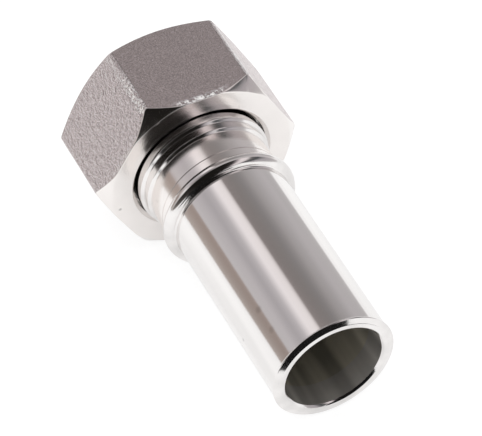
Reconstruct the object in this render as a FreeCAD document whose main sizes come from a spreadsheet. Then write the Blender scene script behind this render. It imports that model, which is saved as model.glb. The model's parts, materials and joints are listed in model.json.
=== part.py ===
import FreeCAD, Part
import math
import os
import Sketcher
from FreeCAD import Placement, Rotation, Vector

# A smooth hose tail with a loose union nut and a flat gasket, in millimetres.
# The tail is turned in one piece: sealing flange, guide land, neck, safety collar, shank and lip.
# The cast hexagon nut hangs on the tail's flange, and turns and slides on the guide land.
# The whole lies as it comes to rest: on the nut's lower front edge and on the lip of the tail.

doc = FreeCAD.newDocument("HoseUnion")

# Driving sizes: the radii build up from the shank, each by its own named step
SIZES = [
    ("shank_radius", 16.25, "shank that the hose is pushed on to"),
    ("shank_wall", 3.25, "wall of the shank round the bore"),
    ("shank_length", 58.3, "from the middle of the collar to the end of the tail"),
    ("neck_rise", 0.6, "neck above the shank"),
    ("neck_length", 16.2, "from the nut's front face to the middle of the collar"),
    ("neck_line_gap", 2.8, "from the fine turned line to the collar"),
    ("neck_line_depth", 0.15, "depth of the fine turned line"),
    ("step_rise", 0.75, "turned step above the neck"),
    ("step_width", 2.2, "its straight width"),
    ("step_slope", 0.45, "length of each slope beside the step"),
    ("guide_rise", 0.75, "guide land above the turned step"),
    ("guide_stand_out", 1.8, "guide land in front of the nut"),
    ("collar_height", 2.35, "crest of the safety collar above the shank"),
    ("collar_round", 2, "radius of the collar's rounded section"),
    ("collar_root", 0.5, "fillet beside the collar"),
    ("flange_hold", 0.5, "flange past the hole of the nut"),
    ("flange_thickness", 4, "sealing flange"),
    ("flange_edge", 0.3, "broken edges of the flange"),
    ("lip_height", 0.35, "lip above the shank"),
    ("lip_width", 1.9, "lip, from its crest's start to the end face"),
    ("lip_slope", 1.2, "length of the slope up to the lip"),
    ("lip_round", 0.9, "outer rounding of the end face"),
    ("bore_taper_rise", 0.73, "how much the turned mouth of the bore opens"),
    ("bore_taper_length", 7, "turned mouth of the bore"),
    ("hole_gap", 0.4, "radial play of the nut on the guide land"),
    ("hole_chamfer", 0.8, "turned edge of the nut's front hole"),
    ("flange_gap", 0.226, "radial play of the flange inside the crest of the thread"),
    ("thread_depth", 1.479, "from the crest of the thread to its root"),
    ("relief_depth", 0.5, "turned relief round flange and gasket, below the root of the thread"),
    ("mouth_chamfer", 0.8, "countersink of the nut's mouth, past the root of the thread"),
    ("nut_wall", 4.045, "from the root of the thread to a flat of the hexagon"),
    ("nut_length", 28, "nut, from mouth to front face"),
    ("nut_corner_round", 1.2, "cast rounding of the six long corners"),
    ("front_wall", 6, "wall of the nut that holds the flange"),
    ("front_chamfer_outset", 0.45, "front chamfer's inner circle, past the flats"),
    ("front_chamfer_angle", 45, "degrees between front chamfer and front face"),
    ("rear_chamfer_inset", 1, "rear chamfer's inner circle, inside the flats"),
    ("rear_chamfer_angle", 30, "degrees between rear chamfer and rear face"),
    ("gasket_thickness", 2.5, "flat gasket on the sealing flange"),
    ("gasket_set_back", 1.2, "hole in the gasket, past the bore"),
]
sheet = doc.addObject("Spreadsheet::Sheet", "Sizes")
for row, (alias, value, note) in enumerate(SIZES, start=1):
    sheet.set(f"A{row}", note)
    sheet.set(f"B{row}", str(value))
    sheet.setAlias(f"B{row}", alias)
doc.recompute()

# Sizes that follow from the driving ones, as formulas over the sheet
FULL_TURN = 360
NEAR = 1e-4
bore_radius = "(Sizes.shank_radius - Sizes.shank_wall)"
neck_radius = "(Sizes.shank_radius + Sizes.neck_rise)"
neck_end_radius = f"({neck_radius} - Sizes.neck_line_depth)"
step_radius = f"({neck_radius} + Sizes.step_rise)"
guide_radius = f"({step_radius} + Sizes.guide_rise)"
collar_radius = "(Sizes.shank_radius + Sizes.collar_height)"
lip_radius = "(Sizes.shank_radius + Sizes.lip_height)"
tail_mouth_radius = f"({bore_radius} + Sizes.bore_taper_rise)"
hole_radius = f"({guide_radius} + Sizes.hole_gap)"
flange_radius = f"({hole_radius} + Sizes.flange_hold)"
thread_radius = f"({flange_radius} + Sizes.flange_gap + Sizes.thread_depth)"
relief_radius = f"({thread_radius} + Sizes.relief_depth)"
nut_mouth_radius = f"({thread_radius} + Sizes.mouth_chamfer)"
half_flats = f"({thread_radius} + Sizes.nut_wall)"
nut_corner_radius = f"({half_flats} * 2 / sqrt(3))"
past_corner = f"({nut_corner_radius} + 1)"
front_chamfer_radius = f"({half_flats} + Sizes.front_chamfer_outset)"
rear_chamfer_radius = f"({half_flats} - Sizes.rear_chamfer_inset)"
gasket_hole_radius = f"({bore_radius} + Sizes.gasket_set_back)"

# Places along the tail, from its sealing face
nut_face = "(Sizes.flange_thickness + Sizes.front_wall)"
guide_end = f"({nut_face} + Sizes.guide_stand_out)"
step_start = f"({guide_end} + Sizes.step_slope)"
step_end = f"({step_start} + Sizes.step_width)"
neck_start = f"({step_end} + Sizes.step_slope)"
collar_middle = f"({nut_face} + Sizes.neck_length)"
collar_centre = f"({collar_radius} - Sizes.collar_round)"
collar_before = f"sqrt(Sizes.collar_round ^ 2 - ({neck_end_radius} - {collar_centre}) ^ 2)"
collar_beyond = f"sqrt(Sizes.collar_round ^ 2 - (Sizes.shank_radius - {collar_centre}) ^ 2)"
collar_start = f"({collar_middle} - {collar_before})"
collar_end = f"({collar_middle} + {collar_beyond})"
neck_line = f"({collar_start} - Sizes.neck_line_gap)"
tail_length = f"({collar_middle} + Sizes.shank_length)"
lip_start = f"({tail_length} - Sizes.lip_width)"
shank_end = f"({lip_start} - Sizes.lip_slope)"
taper_start = f"({tail_length} - Sizes.bore_taper_length)"

# Places along the nut, from its mouth
shoulder = "(Sizes.nut_length - Sizes.front_wall)"
relief_start = f"({shoulder} - Sizes.flange_thickness - Sizes.gasket_thickness)"
thread_end = f"({relief_start} - Sizes.relief_depth)"


def number(formula):
    """The value of a formula over the sheet."""
    return float(sheet.evalExpression(formula))


def origin_plane(body, role):
    """One of a body's own three origin planes."""
    return next(plane for plane in body.Origin.OriginFeatures if plane.Role == role)


def new_body(label):
    """An empty body that carries the name of its piece."""
    body = doc.addObject("PartDesign::Body", label)
    body.Label = label
    return body


def new_sketch(body, name, role):
    """A sketch on one of the body's own planes."""
    sketch = body.newObject("Sketcher::SketchObject", name)
    sketch.AttachmentSupport = [(origin_plane(body, role), "")]
    sketch.MapMode = "FlatFace"
    return sketch


def pin_point(sketch, edge, end, across, along, label):
    """Ties a point of a sketch to its two formulas, measured from the origin."""
    point = (edge, end)
    for kind, axis, formula in (("DistanceX", -2, across), ("DistanceY", -1, along)):
        if formula == "0":
            sketch.addConstraint(Sketcher.Constraint("PointOnObject", *point, axis))
            continue
        constraint = Sketcher.Constraint(kind, -1, 1, *point, number(formula))
        index = sketch.addConstraint(constraint)
        sketch.renameConstraint(index, f"{label}_{kind}")
        sketch.setExpression(f"Constraints.{label}_{kind}", formula)


def add_outline(sketch, corners, arcs=None):
    """A closed outline through (radius, along) corners. An arc of a given radius, through a
    crest, takes the place of the straight edge after each corner that arcs names."""
    arcs = arcs or {}
    points = [Vector(number(across), number(along), 0) for across, along in corners]
    first = sketch.GeometryCount
    starts = []
    ends = []
    for i, here in enumerate(points):
        there = points[(i + 1) % len(points)]
        start, end = 1, 2
        if i in arcs:
            crest_across, crest_along, radius = arcs[i]
            crest = Vector(number(crest_across), number(crest_along), 0)
            edge = sketch.addGeometry(Part.Arc(here, crest, there))
            if (sketch.Geometry[edge].StartPoint - here).Length > NEAR:
                start, end = 2, 1
            index = sketch.addConstraint(Sketcher.Constraint("Radius", edge, number(radius)))
            sketch.setExpression(f"Constraints[{index}]", radius)
        else:
            edge = sketch.addGeometry(Part.LineSegment(here, there))
        starts.append((edge, start))
        ends.append((edge, end))
    for i, start in enumerate(starts):
        sketch.addConstraint(Sketcher.Constraint("Coincident", *ends[i - 1], *start))
    for i, (across, along) in enumerate(corners):
        pin_point(sketch, *starts[i], across, along, f"corner_{first + i}")


def turn(body, kind, name, sketch):
    """Turns a half-section about the body's own axis, to add or to cut."""
    feature = body.newObject(kind, name)
    feature.Profile = sketch
    feature.ReferenceAxis = (sketch, ["V_Axis"])
    feature.Angle = FULL_TURN
    sketch.Visibility = False
    doc.recompute()
    return feature


def rings(feature, places):
    """The round edges of a feature at the given (radius, along) places."""
    names = []
    for i, edge in enumerate(feature.Shape.Edges, start=1):
        if not isinstance(edge.Curve, Part.Circle):
            continue
        for across, along in places:
            same_radius = abs(edge.Curve.Radius - number(across)) < NEAR
            same_place = abs(edge.Curve.Center.z - number(along)) < NEAR
            if same_radius and same_place:
                names.append(f"Edge{i}")
    return names


def soften(body, kind, name, base, edges, formula):
    """A fillet or chamfer on some edges of a feature."""
    feature = body.newObject(kind, name)
    feature.Base = (base, edges)
    feature.setExpression("Radius" if kind == "PartDesign::Fillet" else "Size", formula)
    doc.recompute()
    return feature


# Hose tail, turned from bar about its own Z axis, with the sealing face at zero
tail = new_body("hose_tail")
section = new_sketch(tail, "TailSection", "XZ_Plane")
add_outline(section, [
    (bore_radius, "0"),
    (flange_radius, "0"),
    (flange_radius, "Sizes.flange_thickness"),
    (guide_radius, "Sizes.flange_thickness"),
    (guide_radius, guide_end),
    (step_radius, step_start),
    (step_radius, step_end),
    (neck_radius, neck_start),
    (neck_radius, neck_line),
    (neck_end_radius, neck_line),
    (neck_end_radius, collar_start),
    ("Sizes.shank_radius", collar_end),
    ("Sizes.shank_radius", shank_end),
    (lip_radius, lip_start),
    (lip_radius, tail_length),
    (tail_mouth_radius, tail_length),
    (bore_radius, taper_start),
], arcs={10: (collar_radius, collar_middle, "Sizes.collar_round")})
tail_turned = turn(tail, "PartDesign::Revolution", "TurnedTail", section)
lip_edge = rings(tail_turned, [(lip_radius, tail_length)])
tail_lip = soften(tail, "PartDesign::Fillet", "LipRound", tail_turned, lip_edge, "Sizes.lip_round")
root_places = [(neck_end_radius, collar_start), ("Sizes.shank_radius", collar_end)]
collar_roots = rings(tail_lip, root_places)
tail_roots = soften(tail, "PartDesign::Fillet", "CollarRoots", tail_lip, collar_roots, "Sizes.collar_root")
flange_places = [(flange_radius, "0"), (flange_radius, "Sizes.flange_thickness")]
flange_edges = rings(tail_roots, flange_places)
soften(tail, "PartDesign::Chamfer", "FlangeEdges", tail_roots, flange_edges, "Sizes.flange_edge")

# Union nut, cast as a hexagon and turned inside, with its mouth at zero and a flat square to X
nut = new_body("union_nut")
hexagon = new_sketch(nut, "NutHexagon", "XY_Plane")
corner_radius = number(nut_corner_radius)
corners = []
for k in range(6):
    angle = math.radians(60 * k - 30)
    corners.append(Vector(corner_radius * math.cos(angle), corner_radius * math.sin(angle), 0))
for k, corner in enumerate(corners):
    hexagon.addGeometry(Part.LineSegment(corner, corners[(k + 1) % 6]))
rim = hexagon.addGeometry(Part.Circle(Vector(0, 0, 0), Vector(0, 0, 1), corner_radius), True)
hexagon.addConstraint(Sketcher.Constraint("Coincident", rim, 3, -1, 1))
for k in range(6):
    hexagon.addConstraint(Sketcher.Constraint("Coincident", k, 2, (k + 1) % 6, 1))
    hexagon.addConstraint(Sketcher.Constraint("PointOnObject", k, 1, rim))
for k in range(1, 6):
    hexagon.addConstraint(Sketcher.Constraint("Equal", 0, k))
hexagon.addConstraint(Sketcher.Constraint("Vertical", 0))
index = hexagon.addConstraint(Sketcher.Constraint("Radius", rim, corner_radius))
hexagon.setExpression(f"Constraints[{index}]", nut_corner_radius)
nut_blank = nut.newObject("PartDesign::Pad", "NutBlank")
nut_blank.Profile = hexagon
nut_blank.setExpression("Length", "Sizes.nut_length")
hexagon.Visibility = False
doc.recompute()
long_edges = [
    f"Edge{i}" for i, edge in enumerate(nut_blank.Shape.Edges, start=1)
    if abs(edge.BoundBox.ZLength - number("Sizes.nut_length")) < NEAR
]
soften(nut, "PartDesign::Fillet", "CastCorners", nut_blank, long_edges, "Sizes.nut_corner_round")

# The two turned chamfers, which leave a curved edge across each flat
front_drop = f"(({past_corner} - {front_chamfer_radius}) * tan(Sizes.front_chamfer_angle * 1deg))"
rear_rise = f"(({past_corner} - {rear_chamfer_radius}) * tan(Sizes.rear_chamfer_angle * 1deg))"
chamfers = new_sketch(nut, "ChamferSection", "XZ_Plane")
add_outline(chamfers, [
    (front_chamfer_radius, "Sizes.nut_length"),
    (past_corner, "Sizes.nut_length"),
    (past_corner, f"(Sizes.nut_length - {front_drop})"),
])
add_outline(chamfers, [
    (rear_chamfer_radius, "0"),
    (past_corner, "0"),
    (past_corner, rear_rise),
])
turn(nut, "PartDesign::Groove", "EndChamfers", chamfers)

# The bore, from the mouth through the thread and its relief to the hole round the guide land
bore = new_sketch(nut, "BoreSection", "XZ_Plane")
add_outline(bore, [
    ("0", "0"),
    (nut_mouth_radius, "0"),
    (thread_radius, "Sizes.mouth_chamfer"),
    (thread_radius, thread_end),
    (relief_radius, relief_start),
    (relief_radius, shoulder),
    (hole_radius, shoulder),
    (hole_radius, "(Sizes.nut_length - Sizes.hole_chamfer)"),
    (f"({hole_radius} + Sizes.hole_chamfer)", "Sizes.nut_length"),
    ("0", "Sizes.nut_length"),
])
turn(nut, "PartDesign::Groove", "TurnedBore", bore)

# Flat gasket, which lies on the sealing flange inside the crest of the thread
gasket = new_body("flat_gasket")
ring = new_sketch(gasket, "GasketSection", "XZ_Plane")
add_outline(ring, [
    (gasket_hole_radius, "0"),
    (flange_radius, "0"),
    (flange_radius, "Sizes.gasket_thickness"),
    (gasket_hole_radius, "Sizes.gasket_thickness"),
])
turn(gasket, "PartDesign::Revolution", "PunchedRing", ring)

# How it lies: the front edge of the nut's lower flat and the rounded lip touch the floor
flat = number(half_flats)
front_angle = math.radians(number("Sizes.front_chamfer_angle"))
set_back = max(0, flat - number(front_chamfer_radius)) * math.tan(front_angle)
front_edge = number(nut_face) - set_back
lip_round = number("Sizes.lip_round")
lip_centre_along = number(tail_length) - lip_round - front_edge
lip_centre_down = flat - (number(lip_radius) - lip_round)
reach = math.hypot(lip_centre_down, lip_centre_along)
tilt = math.acos(lip_round / reach) - math.atan2(lip_centre_along, lip_centre_down)
axis = Vector(math.cos(tilt), 0, -math.sin(tilt))
laid_down = Rotation(Vector(0, 1, 0), 90 + math.degrees(tilt))
sealing_face = Vector(0, 0, flat * math.cos(tilt) + front_edge * math.sin(tilt))
nut_mouth_along = number("Sizes.flange_thickness") - number(shoulder)
gasket_along = -number("Sizes.gasket_thickness")
along = {tail: 0, nut: nut_mouth_along, gasket: gasket_along}
for body, distance in along.items():
    body.Placement = Placement(sealing_face + axis * distance, laid_down)
doc.recompute()

# The origin is on the floor, under the middle of the whole part
boxes = [body.Shape.optimalBoundingBox() for body in along]
middle = (min(box.XMin for box in boxes) + max(box.XMax for box in boxes)) / 2
for body, distance in along.items():
    body.Placement = Placement(sealing_face + axis * distance - Vector(middle, 0, 0), laid_down)
doc.recompute()

for item in doc.Objects:
    if "Invalid" in item.State or "Error" in item.State:
        raise RuntimeError(f"{item.Name} failed: {item.State}")
os.makedirs("parts", exist_ok=True)
for body in along:
    shape = body.Shape
    if shape.isNull() or not shape.isValid() or len(shape.Solids) != 1:
        raise RuntimeError(f"{body.Label} is not one valid solid")
for body in along:
    body.Shape.exportStep(os.path.join("parts", f"{body.Label}.step"))
    box = body.Shape.optimalBoundingBox()
    low = (round(box.XMin, 3), round(box.YMin, 3), round(box.ZMin, 3))
    high = (round(box.XMax, 3), round(box.YMax, 3), round(box.ZMax, 3))
    print(body.Label, "volume", round(body.Shape.Volume, 2), "box", low, high)
print("tilt in degrees", round(math.degrees(tilt), 4))
print("middle of the sealing face", sealing_face - Vector(middle, 0, 0))
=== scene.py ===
# %% [markdown]
# # A stainless hose union, turned and milled in Blender
#
# The real object is a short turned tube with a loose hexagonal nut on it. The nut screws onto
# a threaded pipe end, and a hose is pushed over the smooth tube and held by a clamp. The sizes
# come from the CAD part, which is loaded first and never changed. Blender adds what the CAD
# leaves out: rounded edges, the thread, the skin of the casting and the polish.

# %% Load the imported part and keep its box
import json
import math

import bmesh
import bpy
from mathutils import Matrix, Vector, noise


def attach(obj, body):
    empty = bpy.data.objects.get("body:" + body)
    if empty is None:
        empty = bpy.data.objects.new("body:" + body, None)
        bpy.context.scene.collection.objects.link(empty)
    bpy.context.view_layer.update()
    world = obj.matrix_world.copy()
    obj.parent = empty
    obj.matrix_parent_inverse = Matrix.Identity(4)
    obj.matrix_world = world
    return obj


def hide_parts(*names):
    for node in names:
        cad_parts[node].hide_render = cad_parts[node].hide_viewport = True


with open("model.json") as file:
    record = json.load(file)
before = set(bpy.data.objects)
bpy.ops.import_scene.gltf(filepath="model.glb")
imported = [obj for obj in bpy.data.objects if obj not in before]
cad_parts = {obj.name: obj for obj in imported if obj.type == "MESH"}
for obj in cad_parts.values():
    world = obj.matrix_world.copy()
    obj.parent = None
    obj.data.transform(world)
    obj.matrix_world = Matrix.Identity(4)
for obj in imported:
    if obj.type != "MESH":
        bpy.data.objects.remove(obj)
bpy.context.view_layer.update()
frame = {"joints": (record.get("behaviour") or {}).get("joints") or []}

# %% [markdown]
# ## A lathe's own axes
#
# Everything here was made on a lathe, so the shapes are easiest to give as a machinist does:
# a radius, and a distance along the axis. The axis could be typed in again, but the packed
# joint already says where it runs, so it is read from there. All lathe sizes are in
# millimetres, and one matrix takes them to metres in the part's frame.

# %% The axis and the matrix that lays a turned piece down
MM = 0.001
swivel = next(j for j in frame["joints"] if j["name"] == "nut_swivel")
sealing_face = Vector(swivel["pos_m"])
along_axis = Vector(swivel["axis"]).normalized()
sideways = Vector((0, 1, 0))
downwards = sideways.cross(along_axis)
lay_down = Matrix((downwards, sideways, along_axis)).transposed().to_4x4()
lay_down = Matrix.Translation(sealing_face) @ lay_down @ Matrix.Scale(MM, 4)
print("sealing face at", [round(v, 5) for v in sealing_face])

# %% [markdown]
# ## From a wire to a turned piece
#
# A lathe tool follows an outline while the work turns. Blender's spin does the same: a wire
# of edges is swept round the axis. Corners are the part that a beginner leaves out, and real
# ones are never sharp, so each corner gets its own small rounding by a vertex bevel.

# %% Draw an outline with rounded corners
DEGREES_A_SEGMENT = 15


def outline_wire(corners):
    """Corners are (radius, along, rounding) in millimetres; the last joins the first."""
    bm = bmesh.new()
    bm.verts.layers.float.new("travel")
    dots = [bm.verts.new((radius, 0, along)) for radius, along, _ in corners + corners[:1]]
    for one, two in zip(dots, dots[1:]):
        bm.edges.new((one, two))
    for i in range(1, len(corners)):
        before, here, after = (Vector(corners[j % len(corners)][:2]) for j in (i - 1, i, i + 1))
        rounding = corners[i][2]
        if rounding:
            turn = (here - before).angle(after - here)
            segments = max(2, round(math.degrees(turn) / DEGREES_A_SEGMENT))
            bmesh.ops.bevel(bm, geom=[dots[i]], offset=rounding * math.tan(turn / 2),
                            offset_type="OFFSET", affect="VERTICES", segments=segments,
                            profile=0.5, material=-1)
    return bm, dots[0]

# %% [markdown]
# A brushed or turned surface reflects differently along its marks and across them. The shader
# learns the direction of the marks from a UV map, so each turned piece gets one: U runs once
# round the axis and V follows the outline, in millimetres.

# %% Give a turned mesh its turning map
def mark_travel(bm, start):
    """Stores on each vertex of an open wire how far along the outline it lies."""
    travel = bm.verts.layers.float["travel"]
    dot, came_by, total = start, None, 0.0
    while True:
        dot[travel] = total
        onward = [e for e in dot.link_edges if e is not came_by]
        if not onward:
            return total
        came_by = onward[0]
        total += came_by.calc_length()
        dot = came_by.other_vert(dot)


def turning_map(bm):
    travel = bm.verts.layers.float["travel"]
    layer = bm.loops.layers.uv.new("turning")
    for face in bm.faces:
        middle = face.calc_center_median()
        centre = math.atan2(middle.y, middle.x)
        for loop in face.loops:
            spot = loop.vert.co
            angle = math.atan2(spot.y, spot.x) - centre
            angle = (angle + math.pi) % math.tau - math.pi + centre
            loop[layer].uv = (angle / math.tau, loop.vert[travel])

# %% [markdown]
# The last helper closes the seams, turns all faces outwards, lays the piece down in the
# part's frame and shades it. The Weighted Normal modifier keeps wide faces flat and lets only
# the narrow roundings catch the light, as on machined metal.

# %% Turn a bmesh into a finished piece
SEAM = 0.002


def finished_piece(bm, name, materials):
    bmesh.ops.remove_doubles(bm, verts=bm.verts, dist=SEAM)
    bmesh.ops.recalc_face_normals(bm, faces=bm.faces)
    bmesh.ops.transform(bm, matrix=lay_down, verts=bm.verts)
    for face in bm.faces:
        face.smooth = True
    mesh = bpy.data.meshes.new(name)
    bm.to_mesh(mesh)
    bm.free()
    for material in materials:
        mesh.materials.append(material)
    piece = bpy.data.objects.new(name, mesh)
    bpy.context.scene.collection.objects.link(piece)
    even = piece.modifiers.new("Even shading", "WEIGHTED_NORMAL")
    even.keep_sharp = True
    open_edges = sum(1 for loops in edge_uses(mesh) if loops != 2)
    print(name, len(mesh.polygons), "faces,", open_edges, "open edges")
    return piece


def edge_uses(mesh):
    uses = [0] * len(mesh.edges)
    for loop in mesh.loops:
        uses[loop.edge_index] += 1
    return uses

# %% [markdown]
# ## Steel that was turned and polished
#
# Polished steel is nearly a mirror. Its colour is almost all reflection, so the base colour
# stays light and the roughness low. The turning marks are finer than a hair: they blur
# reflections along the axis and leave them crisp across it, which is what the anisotropic
# value does, and a faint bump of rings adds what the eye still sees of them.
#
# The same steel comes in four finishes. The shank is polished, with faint streaks of grain along
# it.
# The neck and the nut's ends are only faced, so they are a little rougher. The bore and the
# reamed taper at its mouth are duller still, and strongly streaked: these strong streaks are
# painted reflection, lighter and darker bands in the colour that stand in for the glints of the
# turning marks. The tube lies at a small slant, so the noise of the streaks is levelled before
# it is stretched. A few small stains sit where the real part has them. The streaks could be a
# picture, but then they would blur when a visitor comes close.

# %% A small helper for node trees, and the turned steel
def new_material(name):
    material = bpy.data.materials.new(name)
    material.use_nodes = True
    tree = material.node_tree
    shader = tree.nodes["Principled BSDF"]
    return material, tree, shader


def add(tree, kind, **values):
    node = tree.nodes.new(kind)
    for key, value in values.items():
        if hasattr(node, key):
            setattr(node, key, value)
        else:
            node.inputs[key.replace("_", " ")].default_value = value
    return node


STREAK_SCALE = (8, 150, 150)
STREAK_LOW, STREAK_HIGH = 0.35, 0.65
TURNING_SCALE = (3, 5, 1)
STAIN_CORE = 0.3


def streaks_of_grain_and_painted_reflection(tree, colour, grain_and_reflection_streaks):
    """A colour with lighter and darker bands along the axis: grain where they are faint, painted
    reflection where they are strong.
    """
    place = add(tree, "ShaderNodeTexCoord")
    level = add(tree, "ShaderNodeMapping")
    level.inputs["Rotation"].default_value = (0, -math.atan2(-along_axis.z, along_axis.x), 0)
    stretch = add(tree, "ShaderNodeMapping")
    stretch.inputs["Scale"].default_value = STREAK_SCALE
    smear = add(tree, "ShaderNodeTexNoise", Scale=1.0, Detail=2.0, Roughness=0.4)
    # The lighter and darker tone is grain on the outside and painted reflection in the bore.
    tone = add(tree, "ShaderNodeMix", data_type="RGBA")
    tone.inputs["A"].default_value = (*(c * (1 - grain_and_reflection_streaks) for c in colour), 1)
    tone.inputs["B"].default_value = (*(c * (1 + grain_and_reflection_streaks) for c in colour), 1)
    tree.links.new(place.outputs["Object"], level.inputs["Vector"])
    tree.links.new(level.outputs["Vector"], stretch.inputs["Vector"])
    tree.links.new(stretch.outputs["Vector"], smear.inputs["Vector"])
    spread = add(tree, "ShaderNodeMapRange")
    spread.inputs["From Min"].default_value = STREAK_LOW
    spread.inputs["From Max"].default_value = STREAK_HIGH
    tree.links.new(smear.outputs["Fac"], spread.inputs["Value"])
    tree.links.new(spread.outputs["Result"], tone.inputs["Factor"])
    return tone.outputs["Result"]


def stained(tree, colour, stains):
    """Darkens a colour round each stain's place, by its radius in metres and its strength."""
    place = add(tree, "ShaderNodeTexCoord")
    for *spot, radius, strength in stains:
        away = add(tree, "ShaderNodeVectorMath", operation="DISTANCE")
        away.inputs[1].default_value = spot
        tree.links.new(place.outputs["Object"], away.inputs[0])
        clean = add(tree, "ShaderNodeMapRange")
        clean.inputs["From Min"].default_value = STAIN_CORE * radius
        clean.inputs["From Max"].default_value = radius
        clean.inputs["To Min"].default_value = 1 - strength
        tree.links.new(away.outputs["Value"], clean.inputs["Value"])
        darker = add(tree, "ShaderNodeVectorMath", operation="SCALE")
        tree.links.new(colour, darker.inputs[0])
        tree.links.new(clean.outputs["Result"], darker.inputs["Scale"])
        colour = darker.outputs["Vector"]
    return colour


def turned_steel(name, colour, rough, marks, anisotropic, grain_and_reflection_streaks, metallic=1.0, stains=()):
    """Rough is the lowest and highest roughness, and marks the strength of the rings."""
    material, tree, shader = new_material(name)
    link = tree.links.new
    shader.inputs["Base Color"].default_value = (*colour, 1)
    shader.inputs["Metallic"].default_value = metallic
    shader.inputs["Anisotropic"].default_value = anisotropic
    link(stained(tree, streaks_of_grain_and_painted_reflection(tree, colour, grain_and_reflection_streaks), stains), shader.inputs["Base Color"])
    uv = add(tree, "ShaderNodeUVMap", uv_map="turning")
    tangent = add(tree, "ShaderNodeTangent", direction_type="UV_MAP", uv_map="turning")
    link(tangent.outputs["Tangent"], shader.inputs["Tangent"])
    stretch = add(tree, "ShaderNodeMapping")
    stretch.inputs["Scale"].default_value = TURNING_SCALE
    rings = add(tree, "ShaderNodeTexNoise", Scale=1.0, Detail=6.0, Roughness=0.7)
    link(uv.outputs["UV"], stretch.inputs["Vector"])
    link(stretch.outputs["Vector"], rings.inputs["Vector"])
    spread = add(tree, "ShaderNodeMapRange")
    spread.inputs["To Min"].default_value = rough[0]
    spread.inputs["To Max"].default_value = rough[1]
    link(rings.outputs["Fac"], spread.inputs["Value"])
    link(spread.outputs["Result"], shader.inputs["Roughness"])
    bump = add(tree, "ShaderNodeBump", Strength=marks, Distance=0.00002)
    link(rings.outputs["Fac"], bump.inputs["Height"])
    link(bump.outputs["Normal"], shader.inputs["Normal"])
    return material


# Each stain is x, y, z and radius in metres, and how much it darkens.
SHANK_STAINS = [(0.03389, -0.01625, 0.0185, 0.0006, 0.35),
                (0.03553, -0.01256, 0.02859, 0.0013, 0.2),
                (0.04258, -0.01256, 0.02779, 0.0012, 0.15)]
RING_STAINS = [(-0.02323, -0.02335, 0.01959, 0.0006, 0.4)]
polished = turned_steel("Turned and polished steel", (0.80, 0.78, 0.77), rough=(0.06, 0.11),
                        marks=0.15, anisotropic=0.8, grain_and_reflection_streaks=0.08, stains=SHANK_STAINS)
faced = turned_steel("Faced steel", (0.87, 0.835, 0.815), rough=(0.12, 0.2), marks=0.2,
                     anisotropic=0.6, grain_and_reflection_streaks=0.02, stains=RING_STAINS)
# The strong streaks of the bore and the reamed taper are painted reflection of the turning
# marks.
bored = turned_steel("Bored steel", (0.50, 0.47, 0.40), rough=(0.3, 0.45), marks=0.6,
                     anisotropic=0.85, grain_and_reflection_streaks=0.55, metallic=0.7)
reamed = turned_steel("Reamed steel", (0.48, 0.46, 0.44), rough=(0.28, 0.46), marks=1.0,
                      anisotropic=0.85, grain_and_reflection_streaks=0.4, metallic=0.7)
print("finishes", [m.name for m in (polished, faced, bored, reamed)])

# %% [markdown]
# ## The cast skin
#
# The flats of the nut kept the skin of the casting, which was blasted with beads. It is grey
# rather than bright, and wrinkled like an orange. Two noises make that grain: a coarse one
# for the wrinkles and a fine one for the beads' dents. Along the corners and at the front
# edge the skin was rubbed smooth and nicked, and each vertex of the nut carries a number for
# that wear. Where it is high, the wrinkles fade and small bright chips appear. Two opposite
# flats were milled before they were blasted, so they have only the dents. The nicks on them
# are torn rather than rubbed and scatter light, so there the chips are made less metallic.

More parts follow.
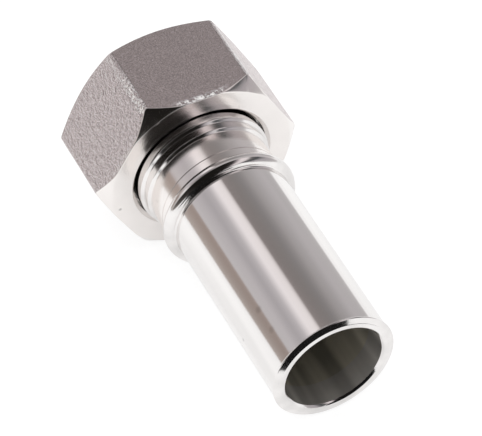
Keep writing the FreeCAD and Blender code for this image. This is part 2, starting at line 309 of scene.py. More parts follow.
# %% Blasted cast steel
def cast_steel():
    material, tree, shader = new_material("Blasted cast steel")
    link = tree.links.new
    place = add(tree, "ShaderNodeTexCoord")
    wear = add(tree, "ShaderNodeAttribute", attribute_name="wear")
    wrinkles = add(tree, "ShaderNodeTexNoise", Scale=900.0, Detail=3.0, Roughness=0.6)
    dents = add(tree, "ShaderNodeTexNoise", Scale=2600.0, Detail=2.0, Roughness=0.6)
    nicks = add(tree, "ShaderNodeTexNoise", Scale=1500.0, Detail=2.0, Roughness=0.7)
    for grain in (wrinkles, dents, nicks):
        link(place.outputs["Object"], grain.inputs["Vector"])
    tone = add(tree, "ShaderNodeMix", data_type="RGBA")
    tone.inputs["A"].default_value = (0.44, 0.397, 0.395, 1)
    tone.inputs["B"].default_value = (0.90, 0.812, 0.808, 1)
    link(dents.outputs["Fac"], tone.inputs["Factor"])
    found = add(tree, "ShaderNodeMapRange")
    found.inputs["From Min"].default_value = 0.43
    found.inputs["From Max"].default_value = 0.54
    link(nicks.outputs["Fac"], found.inputs["Value"])
    chips = add(tree, "ShaderNodeMath", operation="MULTIPLY")
    link(found.outputs["Result"], chips.inputs[0])
    link(wear.outputs["Fac"], chips.inputs[1])
    bright = add(tree, "ShaderNodeMix", data_type="RGBA")
    bright.inputs["B"].default_value = (0.95, 0.93, 0.92, 1)
    link(tone.outputs["Result"], bright.inputs["A"])
    link(chips.outputs["Value"], bright.inputs["Factor"])
    link(bright.outputs["Result"], shader.inputs["Base Color"])
    rough = add(tree, "ShaderNodeMapRange")
    rough.inputs["To Min"].default_value = 0.25
    rough.inputs["To Max"].default_value = 0.12
    link(chips.outputs["Value"], rough.inputs["Value"])
    link(rough.outputs["Result"], shader.inputs["Roughness"])
    milled = add(tree, "ShaderNodeAttribute", attribute_name="milled")
    torn = add(tree, "ShaderNodeMath", operation="MULTIPLY")
    link(chips.outputs["Value"], torn.inputs[0])
    link(milled.outputs["Fac"], torn.inputs[1])
    gloss = add(tree, "ShaderNodeMapRange")
    gloss.inputs["To Min"].default_value = 1.0
    gloss.inputs["To Max"].default_value = 0.3
    link(torn.outputs["Value"], gloss.inputs["Value"])
    link(gloss.outputs["Result"], shader.inputs["Metallic"])
    smoother = add(tree, "ShaderNodeMath", operation="MAXIMUM")
    link(wear.outputs["Fac"], smoother.inputs[0])
    link(milled.outputs["Fac"], smoother.inputs[1])
    fade = add(tree, "ShaderNodeMapRange")
    fade.inputs["To Min"].default_value = 1.0
    fade.inputs["To Max"].default_value = 0.12
    link(smoother.outputs["Value"], fade.inputs["Value"])
    left = add(tree, "ShaderNodeMath", operation="MULTIPLY")
    link(wrinkles.outputs["Fac"], left.inputs[0])
    link(fade.outputs["Result"], left.inputs[1])
    fine = add(tree, "ShaderNodeBump", Strength=0.8, Distance=0.0002)
    coarse = add(tree, "ShaderNodeBump", Strength=1.0, Distance=0.001)
    chipped = add(tree, "ShaderNodeBump", Strength=1.0, Distance=0.0003)
    link(dents.outputs["Fac"], fine.inputs["Height"])
    link(left.outputs["Value"], coarse.inputs["Height"])
    link(chips.outputs["Value"], chipped.inputs["Height"])
    link(fine.outputs["Normal"], coarse.inputs["Normal"])
    link(coarse.outputs["Normal"], chipped.inputs["Normal"])
    link(chipped.outputs["Normal"], shader.inputs["Normal"])
    return material


cast = cast_steel()
print(cast.name, len(cast.node_tree.nodes), "nodes")

# %% [markdown]
# ## The sealing ring's plastic
#
# The flat ring inside the nut is a white sealing plastic, waxy and faintly mottled. It is
# hardly seen, but a visitor who looks into the nut meets it.

# %% White sealing plastic
def seal_plastic():
    material, tree, shader = new_material("White sealing plastic")
    link = tree.links.new
    place = add(tree, "ShaderNodeTexCoord")
    mottle = add(tree, "ShaderNodeTexNoise", Scale=400.0, Detail=3.0)
    tone = add(tree, "ShaderNodeMix", data_type="RGBA")
    tone.inputs["A"].default_value = (0.84, 0.83, 0.80, 1)
    tone.inputs["B"].default_value = (0.90, 0.89, 0.87, 1)
    bump = add(tree, "ShaderNodeBump", Strength=0.2, Distance=0.0001)
    link(place.outputs["Object"], mottle.inputs["Vector"])
    link(mottle.outputs["Fac"], tone.inputs["Factor"])
    link(tone.outputs["Result"], shader.inputs["Base Color"])
    link(mottle.outputs["Fac"], bump.inputs["Height"])
    link(bump.outputs["Normal"], shader.inputs["Normal"])
    shader.inputs["Roughness"].default_value = 0.45
    return material


plastic = seal_plastic()
print(plastic.name, len(plastic.node_tree.nodes), "nodes")

# %% [markdown]
# ## The hose tail
#
# One bar was turned into a flange that seals, a land that guides the nut, a neck, a round
# safety collar, a long smooth shank for the hose, and a low lip at its end. It could be put
# together from cylinders and a torus, but one outline and one spin give true shoulders and
# roundings everywhere. The collar is two corners rounded so far that they meet in a bead.
# The end of the lip is a shallow cone with a small chamfer inside, and each of them mirrors
# another card, so the end shows a black ring beside a bright one. The radius of a face tells
# how it was finished: polished outside, faced on the neck, bored and reamed inside.

# %% Turn the hose tail
TAIL_OUTLINE = [
    (13.00, 40.00, 0), (13.00, 0.00, 0.20), (19.25, 0.00, 0.30), (19.25, 4.00, 0.30),
    (18.35, 4.00, 0.20), (18.35, 11.80, 0.25), (17.60, 12.25, 0.15), (17.60, 14.45, 0.25),
    (16.85, 14.90, 0.20), (16.85, 21.40, 0.04), (16.70, 21.42, 0.04), (16.70, 24.165, 0.49),
    (18.60, 24.634, 1.99), (18.60, 28.083, 1.99), (16.25, 28.225, 0.49),
    (16.25, 83.30, 0.30), (16.60, 83.60, 0.15), (16.60, 83.90, 0.25),
    (15.05, 84.48, 0.40), (13.75, 84.50, 0.05), (13.20, 83.95, 0.08),
    (13.00, 77.50, 2.00),
]
STEPS_ROUND = 256
BORE_RADIUS, MOUTH_RADIUS = 13.01, 13.19
NECK_RADII = (16.65, 16.90)
POLISHED, BORED, REAMED, FACED = range(4)


def turned_piece(name, corners, materials, finish):
    """Finish gives the number of the material that a face at a radius has."""
    bm, start = outline_wire(corners)
    print(name, "outline", round(mark_travel(bm, start), 1), "mm")
    bmesh.ops.spin(bm, geom=bm.verts[:] + bm.edges[:], cent=(0, 0, 0), axis=(0, 0, 1),
                   angle=math.tau, steps=STEPS_ROUND, use_merge=True, use_duplicate=False)
    turning_map(bm)
    for face in bm.faces:
        middle = face.calc_center_median()
        face.material_index = finish(math.hypot(middle.x, middle.y))
    return finished_piece(bm, name, materials)


def tail_finish(radius):
    if NECK_RADII[0] < radius < NECK_RADII[1]:
        return FACED
    return BORED if radius < BORE_RADIUS else REAMED if radius < MOUTH_RADIUS else POLISHED


tail = turned_piece("turned_hose_tail", TAIL_OUTLINE, [polished, bored, reamed, faced],
                    tail_finish)
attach(tail, "tail")
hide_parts("hose_tail")

# %% [markdown]
# ## The union nut
#
# The nut starts as a casting with six flats and ends on the lathe, which cuts its front and
# rear chamfers and everything inside. Where a cone meets a flat the edge is curved, the mark
# of a real nut. A boolean would cut that curve but leave ragged faces that spoil a shiny
# metal. Here the hexagon's outline is extruded ring by ring, and each ring is pushed to
# where the tool leaves it, so the curve falls exactly on an edge.

# %% The hexagon's outline
HALF_FLATS = 25.0
CORNER_ROUND = 1.2
FLAT_CUTS, LONG_EDGE = 39, 10.0


def hexagon_outline():
    bm = bmesh.new()
    bmesh.ops.create_circle(bm, segments=6, radius=HALF_FLATS / math.cos(math.pi / 6))
    bmesh.ops.bevel(bm, geom=bm.verts[:], offset=CORNER_ROUND * math.tan(math.pi / 6),
                    offset_type="OFFSET", affect="VERTICES", segments=8, profile=0.5,
                    material=-1)
    long_edges = [e for e in bm.edges if e.calc_length() > LONG_EDGE]
    bmesh.ops.subdivide_edges(bm, edges=long_edges, cuts=FLAT_CUTS)
    shape = bm.verts.layers.float_vector.new("shape")
    bm.verts.layers.float.new("travel")
    bm.verts.layers.int.new("ring")
    bm.verts.layers.float.new("wear")
    bm.verts.layers.float.new("milled")
    for dot in bm.verts:
        dot[shape] = dot.co
    return bm


# %% Where the tools leave each ring
FRONT, REAR, SOFT = 10.0, -18.0, 0.14
FRONT_CONE_RADIUS, REAR_CONE_RADIUS = 25.45, 24.0
REAR_SLOPE = math.tan(math.radians(30))
FACE_SOFT, CONE_SHARP, FLAT_SOFT = 1.6, 0.35, 1.2


def end_rings(face, inwards, cone_radius, slope):
    """Five rings over the two edges of a chamfer, from the end face to the flat."""
    def corner(h):
        wide = max(h - cone_radius, 0)
        return min(h, cone_radius), wide, face + inwards * wide * slope

    def face_edge(h):
        return corner(h)[0] - SOFT * FACE_SOFT, face

    def cone_start(h):
        inner, wide, _ = corner(h)
        step = min(SOFT, wide / 2)
        sharp = SOFT * CONE_SHARP * (1 - step / SOFT)
        return inner + step - sharp, face + inwards * (step * slope + sharp)

    def cone_middle(h):
        inner, wide, _ = corner(h)
        sharp = SOFT * CONE_SHARP * (1 - min(SOFT, wide / 2) / SOFT)
        return inner + wide / 2 - sharp, face + inwards * (wide / 2 * slope + sharp)

    def cone_end(h):
        _, wide, reach = corner(h)
        step = min(SOFT, wide / 2)
        sharp = SOFT * CONE_SHARP * (1 - step / SOFT)
        return h - step - sharp, reach - inwards * (step * slope - sharp)

    def flat_start(h):
        return h, corner(h)[2] + inwards * SOFT * FLAT_SOFT

    return [face_edge, cone_start, cone_middle, cone_end, flat_start]


def circle(radius, along):
    """A round ring: it doesn't ask how far out the hexagon's outline lies."""
    return lambda h: (radius, along)


def between(one, two, share):
    """A ring part of the way from one ring to another."""
    def rule(h):
        a, b = one(h), two(h)
        return a[0] + (b[0] - a[0]) * share, a[1] + (b[1] - a[1]) * share
    return rule


# %% Extrude the nut ring by ring
FLAT_RINGS = 30
MOUTH, THREAD_ROOT, RELIEF, HOLE, HOLE_RIM = 21.755, 20.955, 21.455, 18.85, 19.95
OUTLINE_RADIUS = 27.5

front_rings = end_rings(FRONT, -1, FRONT_CONE_RADIUS, 1.0)
rear_rings = end_rings(REAR, 1, REAR_CONE_RADIUS, REAR_SLOPE)[::-1]
flat_rings = [between(front_rings[-1], rear_rings[0], i / FLAT_RINGS)
              for i in range(1, FLAT_RINGS)]
outer_rings = ([circle(HOLE_RIM, FRONT), circle(22.6, FRONT)] + front_rings + flat_rings
               + rear_rings + [circle(22.9, REAR), circle(MOUTH + 0.1, REAR)])
inner_rings = [
    circle(MOUTH, REAR + 0.06), circle(THREAD_ROOT + 0.05, -17.25), circle(THREAD_ROOT, -17.15),
    circle(THREAD_ROOT, -10.0), circle(THREAD_ROOT, -3.05), circle(THREAD_ROOT + 0.05, -2.97),
    circle(RELIEF - 0.05, -2.53), circle(RELIEF, -2.45), circle(RELIEF, 3.75),
    circle(RELIEF - 0.08, 3.92), circle(RELIEF - 0.25, 4.0), circle(HOLE + 0.12, 4.0),
    circle(HOLE, 4.12), circle(HOLE, 6.6), circle(HOLE, 9.15), circle(HOLE + 0.04, 9.24),
    circle(19.75, 9.93), circle(19.82, 9.985), circle(HOLE_RIM, FRONT),
]


def extruded_rings(bm, rules):
    """Each rule turns the outline's radius at a vertex into a radius and a place along."""
    shape = bm.verts.layers.float_vector["shape"]
    travel = bm.verts.layers.float["travel"]
    ring_number = bm.verts.layers.int["ring"]
    ring, dots, total, before = bm.edges[:], bm.verts[:], 0.0, None
    for number, rule in enumerate(rules):
        if number:
            made = bmesh.ops.extrude_edge_only(bm, edges=ring)["geom"]
            dots = [g for g in made if isinstance(g, bmesh.types.BMVert)]
            fresh = set(dots)
            ring = [g for g in made if isinstance(g, bmesh.types.BMEdge)
                    and g.verts[0] in fresh and g.verts[1] in fresh]
        here = Vector(rule(OUTLINE_RADIUS))
        total += (here - before).length if before else 0.0
        before = here
        for dot in dots:
            outline = dot[shape]
            h = outline.length
            radius, along = rule(h)
            dot.co = (outline.x / h * radius, outline.y / h * radius, along)
            dot[travel] = total
            dot[ring_number] = number
    return len(rules)


nut_bm = hexagon_outline()
all_rings = outer_rings + inner_rings
print("nut rings", extruded_rings(nut_bm, all_rings))

# %% [markdown]
# The casting isn't quite true: its flats swell and sink by a few hundredths of a millimetre.
# A smooth noise moves the rings between the chamfers by that much, fading out at both ends.

# %% Skin of the casting
WAVE, WAVE_LENGTH, WAVE_FADE = 0.05, 9.0, 6
first_flat = outer_rings.index(front_rings[-1])
last_flat = first_flat + FLAT_RINGS


def waviness(bm):
    number = bm.verts.layers.int["ring"]
    for dot in bm.verts:
        share = (dot[number] - first_flat) / FLAT_RINGS
        if 0 < share < 1:
            fade = min(1.0, WAVE_FADE * share, WAVE_FADE * (1 - share))
            swell = noise.noise(dot.co / WAVE_LENGTH) * WAVE * fade
            outwards = Vector((dot.co.x, dot.co.y, 0)).normalized()
            dot.co += outwards * swell


waviness(nut_bm)
print("flats between rings", first_flat, "and", last_flat)

# %% [markdown]
# Wear isn't even. Next to each milled flat a band of the neighbour was rubbed, more so
# towards the front, and the middle of each flat's front edge was nicked where no chamfer
# protects it. Painting that by hand would be quick, but a rule on the angle and on the share of
# the flat's length can be read and changed. In each pair below, wear is full up to the first
# number and gone at the second.

# %% Where the casting is worn
HALF_SIDE = HALF_FLATS * math.tan(math.pi / 6)
MILLED_ANGLE = 28.9
BAND_WIDTH, BAND_LENGTH, REAR_WEAR = (2.2, 2.9), (0.4, 0.7), 0.35
STRIP_DEPTH, STRIP_WIDTH, CAST_STRIP = (0.04, 0.055), (5.0, 8.0), 0.35


def ramp_down(value, full, none):
    return min(1.0, max(0.0, (none - value) / (none - full)))


def wear_of_casting(bm):
    number, wear = bm.verts.layers.int["ring"], bm.verts.layers.float["wear"]
    milled = bm.verts.layers.float["milled"]
    for dot in bm.verts:
        share = (dot[number] - first_flat) / FLAT_RINGS
        if not 0 <= share <= 1:
            continue
        angle = math.degrees(math.atan2(dot.co.y, -dot.co.x))
        along_side = HALF_FLATS * math.tan(math.radians((angle + 30) % 60 - 30))
        from_milled = 90 - abs(abs(angle) - 90)
        on_milled = from_milled < MILLED_ANGLE
        band = HALF_SIDE + HALF_FLATS * math.tan(math.radians(from_milled - 60))
        band = 0.0 if on_milled else ramp_down(band, *BAND_WIDTH)
        lengthwise = REAR_WEAR + (1 - REAR_WEAR) * ramp_down(share, *BAND_LENGTH)
        strip = ramp_down(share, *STRIP_DEPTH) * ramp_down(abs(along_side), *STRIP_WIDTH)
        dot[wear] = max(band * lengthwise, strip if on_milled else CAST_STRIP * strip)
        dot[milled] = 1.0 if on_milled else 0.0


wear_of_casting(nut_bm)
turning_map(nut_bm)
number = nut_bm.verts.layers.int["ring"]
cast_faces = 0
for face in nut_bm.faces:
    rings_of_face = [v[number] for v in face.verts]
    on_skin = min(rings_of_face) >= first_flat and max(rings_of_face) <= last_flat
    face.material_index = 1 if on_skin else 0
    cast_faces += on_skin
print("faces with cast skin", cast_faces)
nut = finished_piece(nut_bm, "cast_union_nut", [faced, cast])
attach(nut, "nut")
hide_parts("union_nut")

# %% [markdown]
# ## The thread
#
# Inside the nut runs a pipe thread. A thread is one ridge that climbs as it goes round: the
# spin tool does that when each step also moves along the axis. The ridge's foot is sunk a
# little into the wall, and both of its ends run out into the wall, as a cut thread does.

# %% Spin the thread ridge
PITCH, CREST = 2.309, 19.476
THREAD_FROM, THREAD_TO = -16.5, -3.9
STEPS_A_TURN, RUN_OUT = 72, 40
FOOT_DEPTH, END_DEPTH, MOST_DEPTH = 0.12, 0.1, 0.16
SIDE_LENGTH = 0.6


def thread_ridge():
    foot = THREAD_ROOT + FOOT_DEPTH
    half = [(foot, 1.09), (20.78, 0.91), (19.66, 0.325), (CREST + 0.03, 0.16), (CREST, 0)]
    section = [(r, -a) for r, a in half] + [(r, a) for r, a in half[-2::-1]]
    bm = bmesh.new()
    travel = bm.verts.layers.float.new("travel")
    dots = [bm.verts.new((r, 0, THREAD_FROM + a)) for r, a in section]
    bm.faces.new(dots)
    for i, dot in enumerate(dots):
        dot[travel] = i * SIDE_LENGTH
    steps = round((THREAD_TO - THREAD_FROM) / PITCH * STEPS_A_TURN)
    bmesh.ops.spin(bm, geom=bm.verts[:] + bm.edges[:] + bm.faces[:], cent=(0, 0, 0),
                   axis=(0, 0, 1), dvec=(0, 0, PITCH / STEPS_A_TURN), steps=steps,
                   angle=math.tau * steps / STEPS_A_TURN, use_merge=False,
                   use_duplicate=False)
    return bm, steps


ridge_bm, ridge_steps = thread_ridge()
print("thread turns", round(ridge_steps / STEPS_A_TURN, 2), "vertices", len(ridge_bm.verts))


def run_out(bm):
    """Sinks both ends of the ridge into the wall."""
    fade = RUN_OUT / STEPS_A_TURN * PITCH
    for dot in bm.verts:
        radius = math.hypot(dot.co.x, dot.co.y)
        gone = min(dot.co.z - THREAD_FROM, THREAD_TO - dot.co.z) / fade
        if gone < 1:
            sink = (1 - max(gone, 0)) * (THREAD_ROOT + END_DEPTH - CREST)
            grown = min(radius + sink, THREAD_ROOT + MOST_DEPTH)
            dot.co.x *= grown / radius
            dot.co.y *= grown / radius


run_out(ridge_bm)
turning_map(ridge_bm)
ridge = finished_piece(ridge_bm, "thread_ridge", [faced])
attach(ridge, "nut")

# %% [markdown]
# ## The sealing ring
#
# A flat plastic ring sits against the flange. Its edges were punched, so they are only a
# little soft.

# %% Turn the sealing ring
RING_OUTLINE = [
    (14.20, -1.25, 0), (14.20, -2.50, 0.25), (19.25, -2.50, 0.25), (19.25, 0.00, 0.25),
    (14.20, 0.00, 0.25),
]
gasket = turned_piece("sealing_ring", RING_OUTLINE, [plastic], lambda radius: 0)
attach(gasket, "gasket")
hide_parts("flat_gasket")

# %% [markdown]
# ## The camera
#
# The camera stands where the photographer stood: above the mouth of the tube, a little to
# its left, with a long lens. It was found by matching the ellipses of the mouth and the
# corners of the nut.

# %% Place the camera
camera_data = bpy.data.cameras.new("Camera")
camera = bpy.data.objects.new("Camera", camera_data)
bpy.context.scene.collection.objects.link(camera)
camera_data.sensor_width = 36
camera_data.lens = 224.07
camera_data.clip_start, camera_data.clip_end = 0.05, 20
forward = Vector((-0.67628, 0.30937, -0.66853))
upwards = Vector((-0.58883, 0.31828, 0.74295))
rightwards = forward.cross(upwards).normalized()
upwards = rightwards.cross(forward).normalized()
turned = Matrix((rightwards, upwards, -forward.normalized())).transposed().to_4x4()
camera.matrix_world = Matrix.Translation((0.51487, -0.23543, 0.53398)) @ turned
bpy.context.scene.camera = camera
print("camera at", [round(v, 3) for v in camera.matrix_world.translation])

# %% [markdown]
# ## The light tent
#
# Shiny metal shows its surroundings, so lighting it means building what it will mirror. The
# object lies on white and under a half tunnel of cards, which only reflections can see. Each
# stripe on the tube is one card of the tunnel. The angle runs from left over the top to
# right, as seen along the tube from its mouth. Four sets of cards follow one another along the
# tunnel, because the nut, the collar and the shank mirror different lengths of it. Each card is
# an angle in degrees and a colour. An image of a studio would do the same, but its stripes
# couldn't be moved one by one.

# %% Cards of the tunnel
TENT_RADIUS, TENT_BACK, TENT_FRONT = 250.0, -900.0, 3200.0
WHITE = (1.0, 1.0, 1.0)
REAR_CARDS = [
    (-101, 0.52, 0.46, 0.43), (-94, 0.45, 0.39, 0.36), (-81, 0.375, 0.31, 0.28),
    (-74, 0.375, 0.31, 0.28), (-73, 0.60, 0.575, 0.585), (-57, 0.54, 0.51, 0.525),
    (-45, 0.47, 0.445, 0.46), (-34, 0.56, 0.53, 0.545), (-23, 0.94, 0.89, 0.90),
    (-12, 0.90, 0.85, 0.85), (-7.5, 0.70, 0.65, 0.65), (-6, 0.26, 0.23, 0.225),
    (11, 0.25, 0.23, 0.225), (23, 0.275, 0.26, 0.26), (35, 0.36, 0.34, 0.34),
    (48, 0.42, 0.40, 0.405), (63, 0.50, 0.475, 0.485), (80, 0.52, 0.5, 0.505),
    (89, 0.54, 0.52, 0.525), (90, *WHITE), (110, *WHITE),
]
MIDDLE_CARDS = [
    (-101, 0.45, 0.42, 0.40), (-80, 0.60, 0.57, 0.56), (-60, 0.90, 0.87, 0.87),
    (-48, 0.40, 0.37, 0.37), (-30, 0.25, 0.23, 0.23), (-15, 0.28, 0.26, 0.26),
    (-5, 0.52, 0.49, 0.49), (60, 0.56, 0.53, 0.54), (80, 0.72, 0.69, 0.69),
    (90, *WHITE), (110, *WHITE),
]
FRONT_CARDS = [
    (-101, 0.45, 0.41, 0.38), (-92, 0.24, 0.22, 0.20), (-84, 0.11, 0.10, 0.095),
    (-72, 0.04, 0.036, 0.034), (-50, 0.010, 0.009, 0.008), (10, 0.012, 0.011, 0.010),
    (20, 0.05, 0.045, 0.045), (25, 0.36, 0.32, 0.33), (30, 0.86, 0.79, 0.80),
    (40, 0.82, 0.76, 0.77), (47, 0.16, 0.15, 0.15), (57, 0.06, 0.068, 0.072),
    (64, 0.30, 0.285, 0.295), (70, 0.46, 0.43, 0.45), (80, 0.48, 0.455, 0.465),
    (88, 0.56, 0.54, 0.54), (90, *WHITE), (110, *WHITE),
]
FAR_CARDS = [
    (-101, 0.16, 0.15, 0.14), (-80, 0.09, 0.085, 0.08), (-60, 0.010, 0.009, 0.008),
    (28, 0.010, 0.009, 0.008), (36, 0.40, 0.37, 0.38), (45, 0.72, 0.69, 0.70),
    (58, *WHITE), (110, *WHITE),
]
ZONES = [(REAR_CARDS, TENT_BACK), (MIDDLE_CARDS, -60.0), (FRONT_CARDS, 25.0),
         (FAR_CARDS, 400.0)]
SOFT_EDGE, TENT_LIGHT, TENT_STEPS = 10.0, 1.02, 96
LEAN_TURN, LEAN_FADE, FLOOR_ANGLE, FIRST_BOUNCE = 16.0, 50, 90, 1.5


def reflected_only(piece):
    piece.visible_camera = False
    piece.visible_diffuse = False
    piece.visible_shadow = False
    piece.visible_transmission = False
    piece.visible_volume_scatter = False


def angle_ramp(tree, cards):
    """A colour ramp over the tunnel's angle."""
    ramp = add(tree, "ShaderNodeValToRGB")
    stops = ramp.color_ramp.elements
    low, high = cards[0][0], cards[-1][0]
    for i, (angle, *colour) in enumerate(cards):
        place = (angle - low) / (high - low)
        stop = stops[i] if i < 2 else stops.new(place)
        stop.position = place
        stop.color = (*colour, 1)
    return ramp


def turned_for_lean(tree, angle):
    """The real nut leans a little, so what it mirrors a second time comes from further round."""
    link = tree.links.new
    paths = add(tree, "ShaderNodeLightPath")
    again = add(tree, "ShaderNodeMath", operation="GREATER_THAN")
    again.inputs[1].default_value = FIRST_BOUNCE
    link(paths.outputs["Ray Depth"], again.inputs[0])
    turned = add(tree, "ShaderNodeMath", operation="ADD")
    turned.inputs[1].default_value = LEAN_TURN
    link(angle, turned.inputs[0])
    edge = add(tree, "ShaderNodeMapRange", clamp=False)
    edge.inputs["From Min"].default_value = FLOOR_ANGLE - LEAN_FADE
    edge.inputs["From Max"].default_value = FLOOR_ANGLE
    edge.inputs["To Min"].default_value = FLOOR_ANGLE - LEAN_FADE + LEAN_TURN
    edge.inputs["To Max"].default_value = FLOOR_ANGLE
    link(angle, edge.inputs["Value"])
    lesser = add(tree, "ShaderNodeMath", operation="MINIMUM")
    link(turned.outputs["Value"], lesser.inputs[0])
    link(edge.outputs["Result"], lesser.inputs[1])
    chosen = add(tree, "ShaderNodeMix", data_type="FLOAT")
    link(again.outputs["Value"], chosen.inputs["Factor"])
    link(angle, chosen.inputs["A"])
    link(lesser.outputs["Value"], chosen.inputs["B"])
    return chosen.outputs["Result"]


def card_material():
    material, tree, shader = new_material("Tunnel cards")
    tree.nodes.remove(shader)
    link = tree.links.new
    uv = add(tree, "ShaderNodeUVMap", uv_map="turning")
    part = add(tree, "ShaderNodeSeparateXYZ")
    span = add(tree, "ShaderNodeMapRange")
    span.inputs["From Min"].default_value = REAR_CARDS[0][0]
    span.inputs["From Max"].default_value = REAR_CARDS[-1][0]
    link(uv.outputs["UV"], part.inputs["Vector"])
    link(turned_for_lean(tree, part.outputs["X"]), span.inputs["Value"])
    shown = None
    for cards, start in ZONES:
        ramp = angle_ramp(tree, cards)
        link(span.outputs["Result"], ramp.inputs["Fac"])
        if shown is None:
            shown = ramp.outputs["Color"]
            continue
        step = add(tree, "ShaderNodeMapRange")
        step.inputs["From Min"].default_value = start - SOFT_EDGE
        step.inputs["From Max"].default_value = start + SOFT_EDGE
        link(part.outputs["Y"], step.inputs["Value"])
        mix = add(tree, "ShaderNodeMix", data_type="RGBA")
        link(step.outputs["Result"], mix.inputs["Factor"])
        link(shown, mix.inputs["A"])
        link(ramp.outputs["Color"], mix.inputs["B"])
        shown = mix.outputs["Result"]
    glow = add(tree, "ShaderNodeEmission", Strength=TENT_LIGHT)
    link(shown, glow.inputs["Color"])
    link(glow.outputs["Emission"], tree.nodes["Material Output"].inputs["Surface"])
    return material


def tunnel():
    bm = bmesh.new()
    low, high = REAR_CARDS[0][0], REAR_CARDS[-1][0]
    start = math.radians(180 - low)
    layer = bm.loops.layers.uv.new("turning")
    ends = [bm.verts.new((TENT_RADIUS * math.cos(start), TENT_RADIUS * math.sin(start), z))
            for z in (TENT_BACK, TENT_FRONT)]
    edge = bm.edges.new(ends)
    bmesh.ops.spin(bm, geom=ends + [edge], cent=(0, 0, 0), axis=(0, 0, 1), steps=TENT_STEPS,
                   angle=math.radians(low - high), use_merge=False, use_duplicate=False)
    for face in bm.faces:
        for loop in face.loops:
            spot = loop.vert.co
            turned_by = 180 - math.degrees(math.atan2(spot.y, spot.x))
            if turned_by > 200:
                turned_by -= 360
            loop[layer].uv = (turned_by, spot.z)
    bmesh.ops.transform(bm, matrix=lay_down, verts=bm.verts)
    mesh = bpy.data.meshes.new("card_tunnel")
    bm.to_mesh(mesh)
    bm.free()
    mesh.materials.append(card_material())
    piece = bpy.data.objects.new("card_tunnel", mesh)
    bpy.context.scene.collection.objects.link(piece)
    reflected_only(piece)
    print("tunnel with", sum(len(cards) for cards, _ in ZONES), "cards")


tunnel()

# %% [markdown]
# A low black card lies in front of the mouth and bends up at its far side. It is painted shadow:
# it stands in for the dark contact shadow on the table in front of the lip, and only reflections
# see it. The collar and the lip mirror it, and it draws the thin black crescents that make them
# look round.

# %% Bent card of painted shadow in front of the mouth
CARD_NEAR, CARD_BEND, CARD_TOP = 0.077, 0.125, 0.04
CARD_LEFT, CARD_RIGHT = -0.091, 0.040
CARD_LIFT, CARD_GLOW = 0.0005, 0.008


def painted_shadow_card():
    bm = bmesh.new()
    near = [bm.verts.new((CARD_NEAR, y, CARD_LIFT)) for y in (CARD_LEFT, CARD_RIGHT)]
    edge = bm.edges.new(near)
    for step in ((CARD_BEND - CARD_NEAR, 0, 0), (0, 0, CARD_TOP)):
        grown = bmesh.ops.extrude_edge_only(bm, edges=[edge])["geom"]
        fresh = [g for g in grown if isinstance(g, bmesh.types.BMVert)]
        bmesh.ops.translate(bm, vec=step, verts=fresh)
        edge = next(g for g in grown if isinstance(g, bmesh.types.BMEdge))
    mesh = bpy.data.meshes.new("painted_shadow_card")
    bm.to_mesh(mesh)
    bm.free()
    # The card's black is painted shadow: it stands in for the contact shadow on the table.
    material, tree, shader = new_material("Painted shadow card")
    tree.nodes.remove(shader)
    glow = add(tree, "ShaderNodeEmission", Strength=CARD_GLOW)
    tree.links.new(glow.outputs["Emission"], tree.nodes["Material Output"].inputs["Surface"])
    mesh.materials.append(material)
    piece = bpy.data.objects.new("painted_shadow_card", mesh)
    bpy.context.scene.collection.objects.link(piece)
    reflected_only(piece)


painted_shadow_card()

# %% [markdown]
# A lamp with a wide soft box stands high on the left. The metal doesn't mirror it: it lights
# only what scatters light, such as the table, the sealing ring and the torn chips. The room
# beyond the tunnel is white, and a little darker as a light than as a backdrop.

# %% Lamp and world
def soft_box(name, place, aim, size, power):
    data = bpy.data.lights.new(name, "AREA")
    data.shape = "RECTANGLE"
    data.size, data.size_y = size
    data.energy = power
    lamp = bpy.data.objects.new(name, data)
    bpy.context.scene.collection.objects.link(lamp)
    lamp.location = place
    lamp.rotation_mode = "QUATERNION"
    lamp.rotation_quaternion = (Vector(aim) - Vector(place)).to_track_quat("-Z", "Y")
    return lamp


key = soft_box("Soft box", (0.1, -0.3, 0.9), (0, 0, 0.03), (0.6, 0.6), 3.0)
key.visible_glossy = False

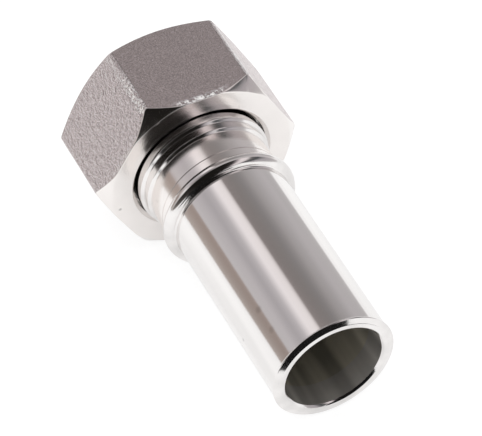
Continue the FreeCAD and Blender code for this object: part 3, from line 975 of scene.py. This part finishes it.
world = bpy.data.worlds.new("White room")
bpy.context.scene.world = world
world.use_nodes = True
world_tree = world.node_tree
rays = add(world_tree, "ShaderNodeLightPath")
seen = add(world_tree, "ShaderNodeMath", operation="MAXIMUM")
seen_too = add(world_tree, "ShaderNodeMath", operation="MAXIMUM")
level = add(world_tree, "ShaderNodeMapRange")
level.inputs["To Min"].default_value = 0.9
level.inputs["To Max"].default_value = 1.0
world_tree.links.new(rays.outputs["Is Camera Ray"], seen.inputs[0])
world_tree.links.new(rays.outputs["Is Glossy Ray"], seen.inputs[1])
world_tree.links.new(seen.outputs["Value"], seen_too.inputs[0])
world_tree.links.new(rays.outputs["Is Transmission Ray"], seen_too.inputs[1])
world_tree.links.new(seen_too.outputs["Value"], level.inputs["Value"])
world_tree.links.new(level.outputs["Result"], world_tree.nodes["Background"].inputs["Strength"])
world_tree.nodes["Background"].inputs["Color"].default_value = (1, 1, 1, 1)
print("lamp", key.name, "in", world.name)

# %% [markdown]
# The table glows by itself, and only a part of its white is paint that can take a shadow. The
# camera sees a smaller part of paint than the metal does, because the photograph shows a faint
# shadow, while the steel mirrors a deeper one.

# %% White table
def white_floor():
    bm = bmesh.new()
    bmesh.ops.create_grid(bm, x_segments=1, y_segments=1, size=3.0)
    mesh = bpy.data.meshes.new("floor")
    bm.to_mesh(mesh)
    bm.free()
    material, tree, shader = new_material("White table")
    link = tree.links.new
    paths = add(tree, "ShaderNodeLightPath")
    paper = add(tree, "ShaderNodeMapRange")
    paper.inputs["To Min"].default_value = 0.45
    paper.inputs["To Max"].default_value = 0.25
    shine = add(tree, "ShaderNodeMapRange")
    shine.inputs["To Min"].default_value = 0.55
    shine.inputs["To Max"].default_value = 0.82
    link(paths.outputs["Is Camera Ray"], paper.inputs["Value"])
    link(paths.outputs["Is Camera Ray"], shine.inputs["Value"])
    grey = add(tree, "ShaderNodeCombineColor")
    for channel in ("Red", "Green", "Blue"):
        link(paper.outputs["Result"], grey.inputs[channel])
    link(grey.outputs["Color"], shader.inputs["Base Color"])
    link(shine.outputs["Result"], shader.inputs["Emission Strength"])
    shader.inputs["Roughness"].default_value = 1.0
    shader.inputs["Specular IOR Level"].default_value = 0.0
    shader.inputs["Emission Color"].default_value = (1, 1, 1, 1)
    mesh.materials.append(material)
    piece = bpy.data.objects.new("floor", mesh)
    bpy.context.scene.collection.objects.link(piece)
    print(piece.name, "with", material.name)


white_floor()
bpy.context.scene.view_settings.view_transform = "Standard"
